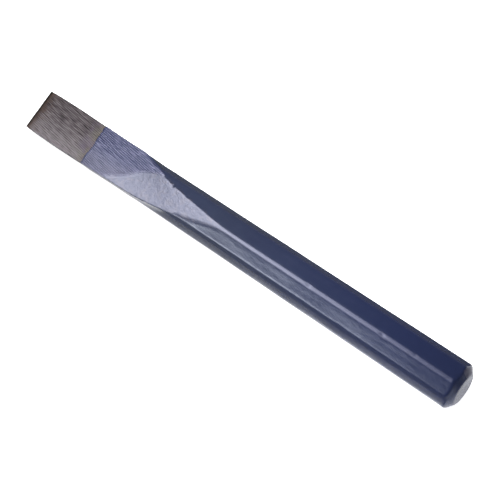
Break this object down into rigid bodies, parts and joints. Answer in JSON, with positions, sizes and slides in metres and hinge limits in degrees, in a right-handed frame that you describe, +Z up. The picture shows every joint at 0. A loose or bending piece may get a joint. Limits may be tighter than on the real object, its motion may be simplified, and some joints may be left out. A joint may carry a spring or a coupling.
{
  "type": "cold chisel",
  "caption": "Flat cold chisel: octagonal steel bar forged to a wide blade with a ground cutting end and chamfered struck head, in a dark blue lacquer coat.",
  "frame": {"origin": "under the middle of the chisel's length, on the surface it lies on, with one flat of the octagon facing down", "axes": "+X along the bar towards the struck head, +Z up. The blade's faces look out over the corner between the top flat and the -Y upper flat"},
  "size_m": [0.25, 0.0234, 0.0196],
  "materials": {
    "ground_steel": "coarse lengthwise grinding, darkened and stained, bevel browned",
    "blue_lacquer": "dipped gloss lacquer over an as-forged surface, small nicks on the corners"
  },
  "bodies": {
    "root": {"forging": "ground_steel", "lacquer": "blue_lacquer"}
  },
  "joints": []
}
